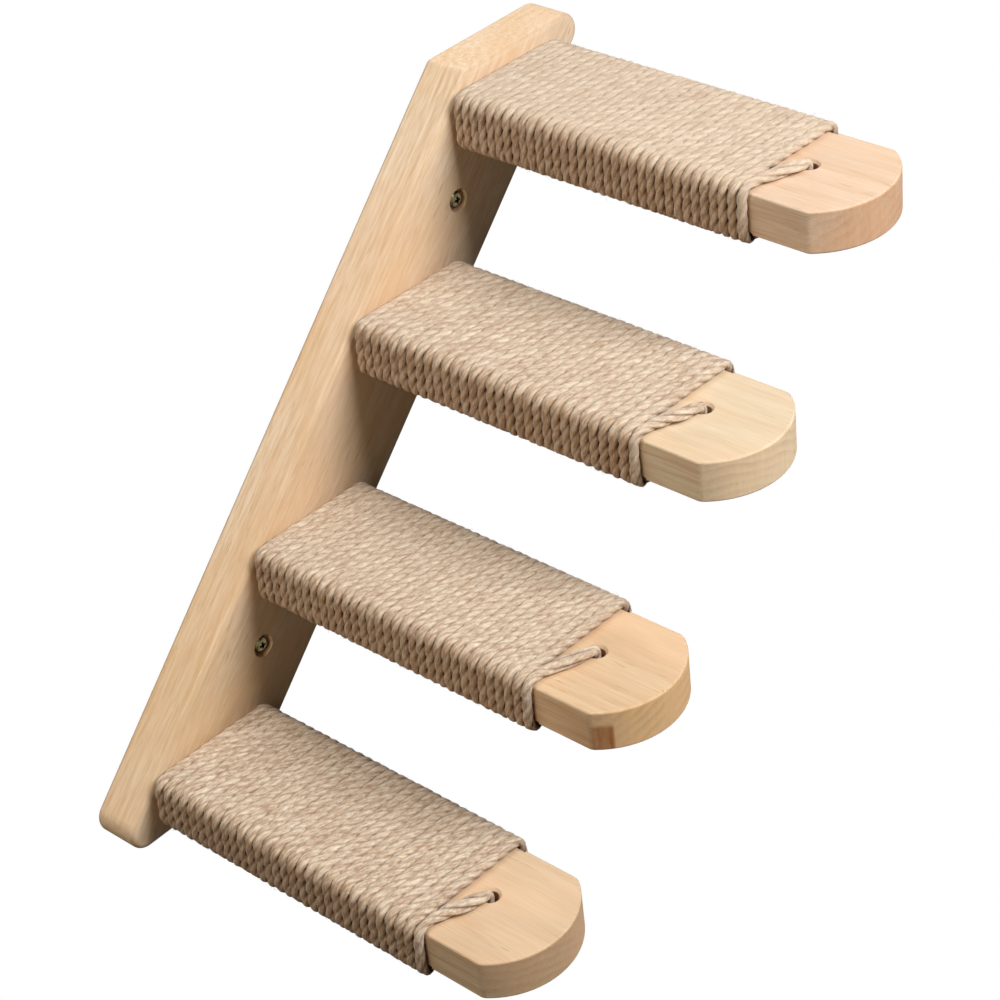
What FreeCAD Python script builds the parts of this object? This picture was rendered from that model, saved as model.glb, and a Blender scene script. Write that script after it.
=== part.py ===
"""Wall ladder for cats: a slanted board that carries four level, rope-wound treads.

Millimetres. X runs along the wall, to the right when facing it. Y points into the wall and
Z up. The origin lies on the wall face of the board, midway between the two wall screws.
"""
import FreeCAD
import Part
import math
import os

V = FreeCAD.Vector

# Ladder
TREAD_COUNT = 4
STEP_WIDTH = 90.0           # from one tread to the next, along the wall
STEP_HEIGHT = 90.0          # from one tread to the next, upwards

# Board
BOARD_WIDTH = 72.0          # square across the slant
BOARD_THICKNESS = 28.5
BOARD_ABOVE = 22.5          # top end above the middle of the top tread
BOARD_BELOW = 25.0          # bottom end below the middle of the bottom tread
BOARD_SHARP_ROUND = 10.5    # the two sharp corners of the outline
BOARD_BLUNT_ROUND = 4.0     # the two blunt corners
BOARD_EDGE_ROUND = 3.0      # edges of the front and the wall face

# Treads
TREAD_WIDTH = 72.0
TREAD_THICKNESS = 23.0
WOUND_LENGTH = 190.0        # from the board's front to the outside of the last turn of rope
BARE_LENGTH = 32.5          # from there to the two corners of the tip
TIP_BULGE = 19.5            # how far the round tip stands out from its two corners
TIP_CORNER_ROUND = 6.0
TIP_EDGE_ROUND = 1.2
WOUND_EDGE_ROUND = 3.0      # edges under the rope
TREAD_SHIFT = -2.8          # tread's middle from the board's centre line, along the wall

# Rope
ROPE_DIAMETER = 5.4
ROPE_GAP = 0.25             # between the rope and the wood beside it
ROPE_PASSES = 24            # times that the rope climbs the tread's left side
ROPE_HOLE_PAST = 6.5        # from the last turn to the middle of the hole that takes the rope's end
ROPE_HOLE_SHIFT = 2.0       # the hole from the tread's middle, along the wall
ROPE_HOLE_DEPTH = 12.0
ROPE_HOLE_SLACK = 1.3       # hole's radius over the rope's
NOTCH_SHIFT = 11.0          # notch for the rope's inner end, from the tread's middle
NOTCH_HEIGHT = 9.5

# Tread fixings, driven from the back of the board
SCREW_SPREAD = 44.0         # between the two screws of a tread
SCREW_LENGTH = 60.0
SCREW_THREAD_DIAMETER = 5.0
SCREW_HEAD_DIAMETER = 9.5
SCREW_HEAD_HEIGHT = 3.4
SCREW_SINK = 8.0            # from the wall face to the seat of the head
DOWEL_DIAMETER = 8.0
DOWEL_LENGTH = 40.0
DOWEL_IN_BOARD = 15.0
DOWEL_CHAMFER = 1.0

# Wall screws
WALL_SCREW_LENGTH = 40.0
WALL_SCREW_THREAD_DIAMETER = 5.0
WALL_SCREW_SHANK_DIAMETER = 3.8
WALL_SCREW_HEAD_DIAMETER = 9.5
WALL_SCREW_HEAD_HEIGHT = 3.8
WALL_SCREW_SINK = 4.4       # from the board's front to the seat of the head

# All screws
HEAD_SLACK = 1.75           # counterbore's radius over the head's
SHANK_SLACK = 0.2           # hole's radius over the thread's, in the board
GRIP_SLACK = 0.1            # hole's radius over the thread's or the dowel's, in the wood that it grips
HOLE_END_SLACK = 0.5        # a blind hole's end past what it holds
POINT_LENGTH = 5.0
RECESS_WIDTH = 1.3          # one bar of the cross in a head
RECESS_SPAN = 5.0
RECESS_DEPTH = 2.0

LEAN = math.atan2(STEP_WIDTH, STEP_HEIGHT)
FRONT = -BOARD_THICKNESS
ROPE_RADIUS = ROPE_DIAMETER / 2
ROPE_SEAT = ROPE_RADIUS + ROPE_GAP      # rope's centre line from the wood
ROPE_HOLE_REACH = WOUND_LENGTH + ROPE_HOLE_PAST
CORNER_REACH = WOUND_LENGTH + BARE_LENGTH
TREAD_REACH = CORNER_REACH + TIP_BULGE
INTO_WALL = V(0, 1, 0)
OUT_OF_WALL = V(0, -1, 0)
PAST = 1.0                              # how far a cutting tool runs past the face it opens


def step_place(steps_up):
    """A point of the ladder's centre line, on the wall face, so many steps above its middle."""
    return V(steps_up * STEP_WIDTH, 0, steps_up * STEP_HEIGHT)


def tread_place(index):
    """Middle of a tread's end on the board's front; index 0 is the top tread."""
    return step_place((TREAD_COUNT - 1) / 2 - index) + V(TREAD_SHIFT, FRONT, 0)


def fillet_points(before, corner, after, radius):
    """Start, middle and end of the arc that rounds one corner of a path."""
    back = (before - corner).normalize()
    ahead = (after - corner).normalize()
    half = back.getAngle(ahead) / 2
    inward = (back + ahead).normalize()
    tangent = radius / math.tan(half)
    middle = corner + inward * (radius / math.sin(half) - radius)
    return corner + back * tangent, middle, corner + ahead * tangent


def rounded_path(points, radii, closed):
    """A wire of straight runs and tangent arcs; radii holds one radius per corner."""
    count = len(points)
    corners = range(count) if closed else range(1, count - 1)
    arcs = {}
    for corner in corners:
        neighbours = points[corner - 1], points[corner], points[(corner + 1) % count]
        arcs[corner] = fillet_points(*neighbours, radii[corner])
    edges = []
    for start in range(count if closed else count - 1):
        end = (start + 1) % count
        leave = arcs[start][2] if start in arcs else points[start]
        arrive = arcs[end][0] if end in arcs else points[end]
        edges.append(Part.LineSegment(leave, arrive).toShape())
        if end in arcs:
            edges.append(Part.Arc(*arcs[end]).toShape())
    return Part.Wire(edges)


def rod(radius, base, direction, length):
    return Part.makeCylinder(radius, length, base, direction)


def screw(length, head_diameter, head_height, shank_diameter, smooth_length, thread_diameter):
    """A cross-headed wood screw along +Y, the seat of its head at the origin."""
    head_radius = head_diameter / 2
    shank_radius = shank_diameter / 2
    thread_radius = thread_diameter / 2
    rim = V(head_radius, -head_height / 3, 0)
    crown = V(head_radius * math.cos(math.pi / 4), -head_height * 0.82, 0)
    top = V(0, -head_height, 0)
    corners = [top, V(0, length, 0), V(thread_radius, length - POINT_LENGTH, 0)]
    corners += [V(thread_radius, smooth_length, 0), V(shank_radius, smooth_length, 0)]
    corners += [V(shank_radius, 0, 0), V(head_radius, 0, 0), rim]
    distinct = [corners[0]]
    for corner in corners[1:]:
        if not corner.isEqual(distinct[-1], 1e-6):
            distinct.append(corner)
    edges = [Part.LineSegment(a, b).toShape() for a, b in zip(distinct, distinct[1:])]
    edges.append(Part.Arc(rim, crown, top).toShape())
    body = Part.Face(Part.Wire(edges)).revolve(V(0, 0, 0), INTO_WALL, 360)
    bar_low = V(-RECESS_SPAN / 2, -head_height - PAST, -RECESS_WIDTH / 2)
    bar = Part.makeBox(RECESS_SPAN, RECESS_DEPTH + PAST, RECESS_WIDTH, bar_low)
    cross = bar.copy()
    cross.rotate(V(0, 0, 0), INTO_WALL, 90)
    return body.cut(bar).cut(cross)


def wall_screw_places():
    """Seats of the two wall screws' heads, between the two top and the two bottom treads."""
    steps = (TREAD_COUNT - 2) / 2
    seat = V(0, FRONT + WALL_SCREW_SINK, 0)
    return [step_place(steps) + seat, step_place(-steps) + seat]


def tread_screw_places(index):
    """Seats of a tread's two screw heads, left and right."""
    middle = tread_place(index)
    seat = V(middle.x, -SCREW_SINK, middle.z)
    return [seat - V(SCREW_SPREAD / 2, 0, 0), seat + V(SCREW_SPREAD / 2, 0, 0)]


def board_blank():
    half_level = BOARD_WIDTH / 2 / math.cos(LEAN)
    half_steps = (TREAD_COUNT - 1) / 2
    top = half_steps * STEP_HEIGHT + BOARD_ABOVE
    bottom = -half_steps * STEP_HEIGHT - BOARD_BELOW
    slope = STEP_WIDTH / STEP_HEIGHT
    outline = [V(bottom * slope - half_level, 0, bottom), V(bottom * slope + half_level, 0, bottom)]
    outline += [V(top * slope + half_level, 0, top), V(top * slope - half_level, 0, top)]
    radii = [BOARD_SHARP_ROUND, BOARD_BLUNT_ROUND] * 2
    face = Part.Face(rounded_path(outline, radii, True))
    blank = face.extrude(V(0, FRONT, 0))
    rims = []
    for edge in blank.Edges:
        box = edge.BoundBox
        if box.YLength < PAST / 2:
            rims.append(edge)
    return blank.makeFillet(BOARD_EDGE_ROUND, rims)


def board():
    """The slanted board with every hole that it carries."""
    holes = []
    for seat in wall_screw_places():
        mouth = V(seat.x, FRONT - PAST, seat.z)
        head_radius = WALL_SCREW_HEAD_DIAMETER / 2 + HEAD_SLACK
        thread_radius = WALL_SCREW_THREAD_DIAMETER / 2 + SHANK_SLACK
        holes.append(rod(head_radius, mouth, INTO_WALL, WALL_SCREW_SINK + PAST))
        holes.append(rod(thread_radius, mouth, INTO_WALL, BOARD_THICKNESS + 2 * PAST))
    for index in range(TREAD_COUNT):
        for seat in tread_screw_places(index):
            mouth = V(seat.x, PAST, seat.z)
            head_radius = SCREW_HEAD_DIAMETER / 2 + HEAD_SLACK
            thread_radius = SCREW_THREAD_DIAMETER / 2 + SHANK_SLACK
            holes.append(rod(head_radius, mouth, OUT_OF_WALL, SCREW_SINK + PAST))
            holes.append(rod(thread_radius, mouth, OUT_OF_WALL, BOARD_THICKNESS + 2 * PAST))
        dowel_mouth = tread_place(index) + V(0, -PAST, 0)
        dowel_radius = DOWEL_DIAMETER / 2 + GRIP_SLACK
        holes.append(rod(dowel_radius, dowel_mouth, INTO_WALL, DOWEL_IN_BOARD + HOLE_END_SLACK + PAST))
    return board_blank().cut(Part.makeCompound(holes))


def tread_blank():
    """A tread's plank, its end at the origin and its tip along -Y."""
    half_width = TREAD_WIDTH / 2
    half_height = TREAD_THICKNESS / 2
    root = -WOUND_LENGTH
    left, right = V(-half_width, -CORNER_REACH, 0), V(half_width, -CORNER_REACH, 0)
    tip = V(0, -TREAD_REACH, 0)
    edges = [Part.LineSegment(V(-half_width, root, 0), left).toShape()]
    edges.append(Part.Arc(left, tip, right).toShape())
    edges.append(Part.LineSegment(right, V(half_width, root, 0)).toShape())
    edges.append(Part.LineSegment(V(half_width, root, 0), V(-half_width, root, 0)).toShape())
    plate = Part.Face(Part.Wire(edges)).extrude(V(0, 0, TREAD_THICKNESS))
    plate.translate(V(0, 0, -half_height))
    uprights = []
    for edge in plate.Edges:
        if edge.BoundBox.ZLength > PAST and edge.CenterOfMass.y < root - PAST:
            uprights.append(edge)
    plate = plate.makeFillet(TIP_CORNER_ROUND, uprights)
    rims = []
    for edge in plate.Edges:
        if edge.BoundBox.ZLength < PAST / 2 and edge.CenterOfMass.y < root - PAST / 2:
            rims.append(edge)
    plate = plate.makeFillet(TIP_EDGE_ROUND, rims)
    section = [V(-half_width, 0, -half_height), V(half_width, 0, -half_height)]
    section += [V(half_width, 0, half_height), V(-half_width, 0, half_height)]
    wound = Part.Face(rounded_path(section, [WOUND_EDGE_ROUND] * 4, True)).extrude(V(0, root, 0))
    return plate.fuse(wound).removeSplitter()


def rope_notch():
    """Room for the rope's inner end in a tread's end, its left lip rounded for the bend."""
    under = -TREAD_THICKNESS / 2
    low = V(NOTCH_SHIFT - ROPE_SEAT, -2 * ROPE_SEAT, under - PAST)
    slot = Part.makeBox(2 * ROPE_SEAT, 2 * ROPE_SEAT + PAST, NOTCH_HEIGHT + PAST, low)
    lip = ROPE_RADIUS - ROPE_GAP
    corner = Part.makeBox(lip, 2 * ROPE_SEAT + PAST, lip + PAST, low - V(lip, 0, 0))
    kept = rod(lip, V(low.x - lip, -2 * ROPE_SEAT - PAST, under + lip), INTO_WALL, 2 * ROPE_SEAT + 3 * PAST)
    return slot.fuse(corner.cut(kept))


def rope_hole():
    """The blind hole that takes the rope's outer end, its rim eased for the bend."""
    top = TREAD_THICKNESS / 2
    radius = ROPE_RADIUS + ROPE_HOLE_SLACK
    ease = ROPE_RADIUS - ROPE_HOLE_SLACK
    floor = V(ROPE_HOLE_SHIFT, -ROPE_HOLE_REACH, top - ROPE_HOLE_DEPTH)
    bore = rod(radius, floor, V(0, 0, 1), ROPE_HOLE_DEPTH + PAST)
    rim_base = V(floor.x, floor.y, top - ease)
    rim = Part.makeCone(radius, radius + ease + PAST, ease + PAST, rim_base, V(0, 0, 1))
    return bore.fuse(rim)


def tread():
    """A tread with its holes, its end at the origin."""
    holes = [rope_notch(), rope_hole()]
    screw_hole = SCREW_SINK + SCREW_LENGTH - BOARD_THICKNESS + HOLE_END_SLACK
    for side in (-1, 1):
        mouth = V(side * SCREW_SPREAD / 2, PAST, 0)
        holes.append(rod(SCREW_THREAD_DIAMETER / 2 + GRIP_SLACK, mouth, OUT_OF_WALL, screw_hole + PAST))
    dowel_hole = DOWEL_LENGTH - DOWEL_IN_BOARD + HOLE_END_SLACK
    holes.append(rod(DOWEL_DIAMETER / 2 + GRIP_SLACK, V(0, PAST, 0), OUT_OF_WALL, dowel_hole + PAST))
    solid = tread_blank()
    for hole in holes:
        solid = solid.cut(hole)
    return solid


def rope_route():
    """Corners of the rope's centre line round one tread, and the radius of each bend.

    It starts in the notch, runs left along the underside, climbs the left side, crosses the
    top to the right and goes on so. From the last climb it crosses bare wood to its hole.
    """
    half_across = TREAD_WIDTH / 2 + ROPE_SEAT
    half_up = TREAD_THICKNESS / 2 + ROPE_SEAT
    start = V(NOTCH_SHIFT, -ROPE_SEAT, NOTCH_HEIGHT - TREAD_THICKNESS / 2 - ROPE_GAP)
    corners = [(NOTCH_SHIFT, -half_up)]
    travelled = [0.0]
    ring = [(-half_across, -half_up), (-half_across, half_up)]
    ring += [(half_across, half_up), (half_across, -half_up)]
    for pass_index in range(ROPE_PASSES):
        last_pass = pass_index == ROPE_PASSES - 1
        for corner in ring[:2] if last_pass else ring:
            travelled.append(travelled[-1] + math.dist(corners[-1], corner))
            corners.append(corner)
    advance = (WOUND_LENGTH - ROPE_RADIUS - ROPE_SEAT) / travelled[-1]
    points = [start]
    for (x, z), distance in zip(corners, travelled):
        points.append(V(x, -ROPE_SEAT - advance * distance, z))
    hole_floor = TREAD_THICKNESS / 2 - ROPE_HOLE_DEPTH + ROPE_GAP
    points.append(V(ROPE_HOLE_SHIFT, -ROPE_HOLE_REACH, half_up))
    points.append(V(ROPE_HOLE_SHIFT, -ROPE_HOLE_REACH, hole_floor))
    radii = [WOUND_EDGE_ROUND + ROPE_SEAT] * len(points)
    radii[1] = ROPE_DIAMETER
    radii[-2] = ROPE_DIAMETER
    pitch = advance * 4 * (half_across + half_up)
    return points, radii, pitch


def least_gap(route, pitch):
    """Least gap between the rope's turns, measured on points of its centre line."""
    step = ROPE_DIAMETER / 2
    points = route.discretize(Distance=step)
    near = round(6 * ROPE_DIAMETER / step)
    turn = round(route.Length / ROPE_PASSES / step)
    least = pitch
    for first in range(len(points)):
        for second in range(first + near, min(first + 2 * turn, len(points))):
            least = min(least, points[first].distanceToPoint(points[second]))
    return least - ROPE_DIAMETER


def rope_wrap():
    """One unbroken rope round a tread whose end is at the origin."""
    points, radii, pitch = rope_route()
    route = rounded_path(points, radii, False)
    profile = Part.Wire([Part.makeCircle(ROPE_RADIUS, points[0], points[1] - points[0])])
    solid = route.makePipeShell([profile], True, False)
    expected = math.pi * ROPE_RADIUS ** 2 * route.Length
    print("rope: length %.0f, pitch %.2f, tightest bend %.2f" % (route.Length, pitch, min(radii)))
    print("rope: volume %.0f, section times length %.0f" % (solid.Volume, expected))
    print("rope: least gap to itself %.2f" % least_gap(route, pitch))
    return solid


def dowel():
    """A dowel along +Y, its middle plane of entry into the board at the origin."""
    pin = rod(DOWEL_DIAMETER / 2, V(0, DOWEL_IN_BOARD - DOWEL_LENGTH, 0), INTO_WALL, DOWEL_LENGTH)
    ends = []
    for edge in pin.Edges:
        if edge.BoundBox.YLength < PAST / 2:
            ends.append(edge)
    return pin.makeChamfer(DOWEL_CHAMFER, ends)


def export(name, shape):
    shape.exportStep("parts/%s.step" % name)
    print("%-20s solids %d valid %s volume %.0f" % (name, len(shape.Solids), shape.isValid(), shape.Volume))


def main():
    os.makedirs("parts", exist_ok=True)
    export("back_board", board())

    tread_solid, rope_solid, dowel_solid = tread(), rope_wrap(), dowel()
    tread_screw = screw(
        SCREW_LENGTH, SCREW_HEAD_DIAMETER, SCREW_HEAD_HEIGHT,
        SCREW_THREAD_DIAMETER, 0.0, SCREW_THREAD_DIAMETER,
    )
    tread_screw.rotate(V(0, 0, 0), V(0, 0, 1), 180)
    for index in range(TREAD_COUNT):
        number = index + 1
        place = tread_place(index)
        export("tread_%d" % number, tread_solid.translated(place))
        export("rope_wrap_%d" % number, rope_solid.translated(place))
        export("dowel_%d" % number, dowel_solid.translated(place))
        for side, seat in zip(("left", "right"), tread_screw_places(index)):
            export("tread_screw_%d_%s" % (number, side), tread_screw.translated(seat))

    smooth_length = BOARD_THICKNESS - WALL_SCREW_SINK
    wall_screw = screw(
        WALL_SCREW_LENGTH, WALL_SCREW_HEAD_DIAMETER, WALL_SCREW_HEAD_HEIGHT,
        WALL_SCREW_SHANK_DIAMETER, smooth_length, WALL_SCREW_THREAD_DIAMETER,
    )
    for level, seat in zip(("upper", "lower"), wall_screw_places()):
        export("wall_screw_%s" % level, wall_screw.translated(seat))


main()
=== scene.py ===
# %% [markdown]
# # A wall ladder for cats, dressed in Blender
#
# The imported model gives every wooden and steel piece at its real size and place: a slanted board,
# four level treads, their hidden screws and dowels, and a plain tube for the rope on each tread.
# This lesson gives the wood its grain, winds real three-strand rope round the treads, cuts proper
# screws, and lights it all for a camera that stands where the photograph was taken. All lengths are
# in metres.

import math

import bpy
import numpy as np
from mathutils import Matrix, Vector


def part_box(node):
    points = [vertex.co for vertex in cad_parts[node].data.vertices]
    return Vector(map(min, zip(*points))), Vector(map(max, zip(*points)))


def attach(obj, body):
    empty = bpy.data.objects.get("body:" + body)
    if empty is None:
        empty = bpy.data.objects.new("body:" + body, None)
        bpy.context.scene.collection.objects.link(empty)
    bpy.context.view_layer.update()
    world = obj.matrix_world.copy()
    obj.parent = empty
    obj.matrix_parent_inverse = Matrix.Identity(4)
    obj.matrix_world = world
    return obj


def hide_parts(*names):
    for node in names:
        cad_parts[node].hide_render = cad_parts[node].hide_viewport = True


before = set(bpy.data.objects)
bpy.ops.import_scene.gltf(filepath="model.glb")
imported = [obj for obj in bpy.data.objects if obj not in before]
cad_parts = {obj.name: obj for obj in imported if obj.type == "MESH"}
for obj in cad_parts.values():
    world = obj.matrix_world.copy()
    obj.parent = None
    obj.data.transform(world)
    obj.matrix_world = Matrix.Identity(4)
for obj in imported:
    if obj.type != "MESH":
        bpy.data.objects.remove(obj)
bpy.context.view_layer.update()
TREADS = (1, 2, 3, 4)

# %% [markdown]
# ## Camera
#
# The camera's place was worked out from the photograph: the corners of the board and of the treads
# fix where it stood, how it was turned and how long its lens was. A camera looks along its own -Z,
# so its matrix has the view's right, up and backward directions as columns. The photograph was
# taken a little askew, and the roll is simply part of those directions.

# %% Camera
CAMERA_PLACE = (-0.79345, -0.92716, 0.77524)
CAMERA_RIGHT = (0.66029, -0.74510, -0.09404)
CAMERA_UP = (0.48089, 0.32328, 0.81500)
CAMERA_LENS = 97.98

camera_data = bpy.data.cameras.new("camera")
camera_data.lens = CAMERA_LENS
camera_data.sensor_width = 36.0
camera_data.clip_end = 50.0
camera = bpy.data.objects.new("camera", camera_data)
bpy.context.scene.collection.objects.link(camera)
right = Vector(CAMERA_RIGHT).normalized()
back = right.cross(Vector(CAMERA_UP)).normalized()
up = back.cross(right)
camera.matrix_world = Matrix((right, up, back)).transposed().to_4x4()
camera.location = CAMERA_PLACE
bpy.context.scene.camera = camera
bpy.context.scene.view_settings.view_transform = "Standard"
print("camera looks along", [round(v, 3) for v in -back])


# %% [markdown]
# ## A short way to write shaders
#
# A node tree is a formula that is drawn as a picture. It is quicker to write it as a formula again.
# The class below wraps one output socket. Adding or multiplying two such values puts a Math node in
# the tree, and its `node` method makes any other node: first the settings, then the inputs.

# %% Shader values
class Value:
    """One output of a shader node, with Python's operators for shader maths."""

    def __init__(self, socket):
        self.socket = socket

    def node(self, kind, settings=None, inputs=None, output=0):
        """A new node in this value's tree; inputs are numbers, colours or other values."""
        tree = self.socket.id_data
        made = tree.nodes.new("ShaderNode" + kind)
        for name, setting in (settings or {}).items():
            setattr(made, name, setting)
        for name, given in (inputs or {}).items():
            if isinstance(given, Value):
                tree.links.new(given.socket, made.inputs[name])
            else:
                made.inputs[name].default_value = given
        return Value(made.outputs[output])

    def math(self, operation, *others):
        inputs = dict(enumerate((self,) + others))
        return self.node("Math", {"operation": operation}, inputs)

    def __add__(self, other):
        return self.math("ADD", other)

    def __sub__(self, other):
        return self.math("SUBTRACT", other)

    def __rsub__(self, other):
        return (self * -1.0).math("ADD", other)

    def __mul__(self, other):
        return self.math("MULTIPLY", other)

    def __truediv__(self, other):
        return self.math("DIVIDE", other)

    def __pow__(self, other):
        return self.math("POWER", other)

    __radd__ = __add__
    __rmul__ = __mul__

    def parts(self):
        """The three numbers of a vector."""
        return [self.node("SeparateXYZ", None, {0: self}, axis) for axis in range(3)]

    def vector(self, x, y, z):
        return self.node("CombineXYZ", None, {0: x, 1: y, 2: z})

    def noise(self, scale, detail=2.0, roughness=0.5):
        """Noise at the point that this vector gives, from 0 to 1."""
        inputs = {"Vector": self, "Scale": scale, "Detail": detail, "Roughness": roughness}
        return self.node("TexNoise", None, inputs)

    def step(self, low, high):
        """0 below low, 1 above high, and a smooth rise between."""
        settings = {"interpolation_type": "SMOOTHSTEP", "clamp": True}
        return self.node("MapRange", settings, {"Value": self, "From Min": low, "From Max": high})

    def mix(self, first, second):
        """The first colour where this value is 0 and the second where it is 1."""
        settings = {"data_type": "RGBA", "clamp_factor": True}
        return self.node("Mix", settings, {0: self, 6: first, 7: second}, 2)


# %% [markdown]
# Colours are easiest to write as on the web, but a shader takes linear numbers, so one helper turns
# the first into the second. Another starts a finish, and a third links what varies over it.

# %% Colours and finishes
def colour(code):
    """A colour that is written as on the web, as the linear numbers that a shader takes."""
    levels = [int(code[i:i + 2], 16) / 255 for i in (1, 3, 5)]
    linear = [v / 12.92 if v < 0.04045 else ((v + 0.055) / 1.055) ** 2.4 for v in levels]
    return (*linear, 1.0)


def new_finish(name, constants):
    """An empty finish, its shader, and the point being shaded; constants hold all over it."""
    finish = bpy.data.materials.new(name)
    finish.use_nodes = True
    shader = finish.node_tree.nodes["Principled BSDF"]
    for socket, constant in constants.items():
        shader.inputs[socket].default_value = constant
    place = Value(shader.outputs["BSDF"]).node("TexCoord", None, None, "Object")
    return finish, shader, place


def feed(shader, **values):
    """Link what varies over the surface to the shader's sockets."""
    for name, value in values.items():
        socket = shader.inputs[name.replace("_", " ").title()]
        shader.id_data.links.new(value.socket, socket)


print("middle grey in linear numbers", [round(v, 3) for v in colour("#808080")])

# %% [markdown]
# ## Wood
#
# Board and treads are pale, plain softwood with a thin matt finish. A picture would repeat on every
# piece, so the wood is a formula in space instead: growth rings are distances from the tree's
# middle, a line beside the piece. A face along that line shows them as long stripes and a face
# across it shows arcs, just as in a real plank. Noise that is drawn out along the grain adds soft
# streaks, broken dashes, fine fibres and short dark flecks, and slow noise lets the colour wander
# from cream to peach and amber.

# %% Grain
GRAIN_ROUGHNESS = 0.55
# For each kind of noise: features to the metre across the grain and along it, detail, and a shift.
GRAIN = {
    "drift": (11.0, 2.4, 2.0, 0.0),
    "sway": (16.0, 5.6, 2.0, 7.0),
    "ring wobble": (60.0, 6.0, 2.0, 0.0),
    "ring strength": (45.0, 9.0, 2.0, 3.0),
    "ripple": (42.0, 24.0, 2.0, 19.0),
    "fibre": (1500.0, 42.0, 3.0, 0.0),
    "dash": (560.0, 80.0, 2.0, 23.0),
    "fleck": (1000.0, 75.0, 1.0, 5.0),
    "fleck patch": (38.0, 14.0, 2.0, 11.0),
    "blush": (26.0, 9.0, 2.0, 13.0),
    "amber": (30.0, 11.0, 3.0, 17.0),
}
STREAKS_ACROSS, STREAKS_ALONG, STREAK_DETAIL, STREAK_RIPPLE = 420.0, 13.0, 3.0, 1.6
RING_WIDTH = 0.0052
RING_DRIFT, RING_SWAY, RING_WOBBLE = 0.018, 0.015, 1.1
LATE_WOOD_RISE, LATE_WOOD_FALL = (0.15, 0.80), (0.82, 1.0)
RING_FADE = (0.30, 0.62)


def growth_rings(noise, across, through, heart):
    """The dark late wood of each year, as rings round the tree's middle."""
    sideways = across - heart[0] + (noise("drift") - 0.5) * RING_DRIFT
    inward = through - heart[1] + (noise("sway") - 0.5) * RING_SWAY
    radius = (sideways ** 2.0 + inward ** 2.0) ** 0.5
    ring = (radius / RING_WIDTH + noise("ring wobble") * RING_WOBBLE).math("FRACT")
    late_wood = ring.step(*LATE_WOOD_RISE) * (1.0 - ring.step(*LATE_WOOD_FALL))
    return late_wood * noise("ring strength").step(*RING_FADE)


print("kinds of grain noise", len(GRAIN), "ring width", RING_WIDTH)

# %% [markdown]
# Colour is laid on in thin layers, each with its own mask: first the shade of the grain, then
# blush, amber and flecks. Where the surface faces along the fibres, it is a sawn end with a tone of
# its own and the marks of the saw across it. The board's rounded edges are painted darker than its
# faces, as painted shade. The same noises lift the surface a little for the bump.

# %% Wood finish
WOOD_TONES = {
    "blush": colour("#EFC7A2"),
    "amber": colour("#E2B77C"),
    "fleck": colour("#A0714B"),
    "ring end": colour("#8F5C38"),
    "edge": colour("#A58C6E"),
}
FLECK_RANGE, FLECK_PATCH_RANGE = (0.64, 0.76), (0.46, 0.62)
BLUSH_RANGE, AMBER_RANGE = (0.42, 0.68), (0.35, 0.70)
AMBER_FADE = 1.6             # less amber for each metre up the grain
END_FACING, STRIPE_FACING, EDGE_FACING = (0.45, 0.95), (0.6, 0.95), (0.05, 0.35)
SAW_ACROSS, SAW_THROUGH, SAW_BASE = 520.0, 55.0, 0.1
MEAN_SHADE, RING_SHADE, FLAT_STRIPES, FIBRE_EXTRA = 0.30, 0.24, 0.5, 0.4
BLUSH_SHARE, FLECK_SHARE, RING_END_SHARE = 0.35, 0.40, 0.15
EDGE_SCALE = 1.41            # brings the middle of a rounded edge to 1
STAIN_AND_SHADE_BASE, STAIN_AND_SHADE_SAW = 0.35, 0.7
FIBRE_RISE, STREAK_RISE, RING_RISE, FLECK_DIP = 0.6, 0.3, 0.4, 0.8
WOOD_ROUGHNESS, FIBRE_ROUGHNESS, END_ROUGHNESS = 0.5, 0.18, 0.1


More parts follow.
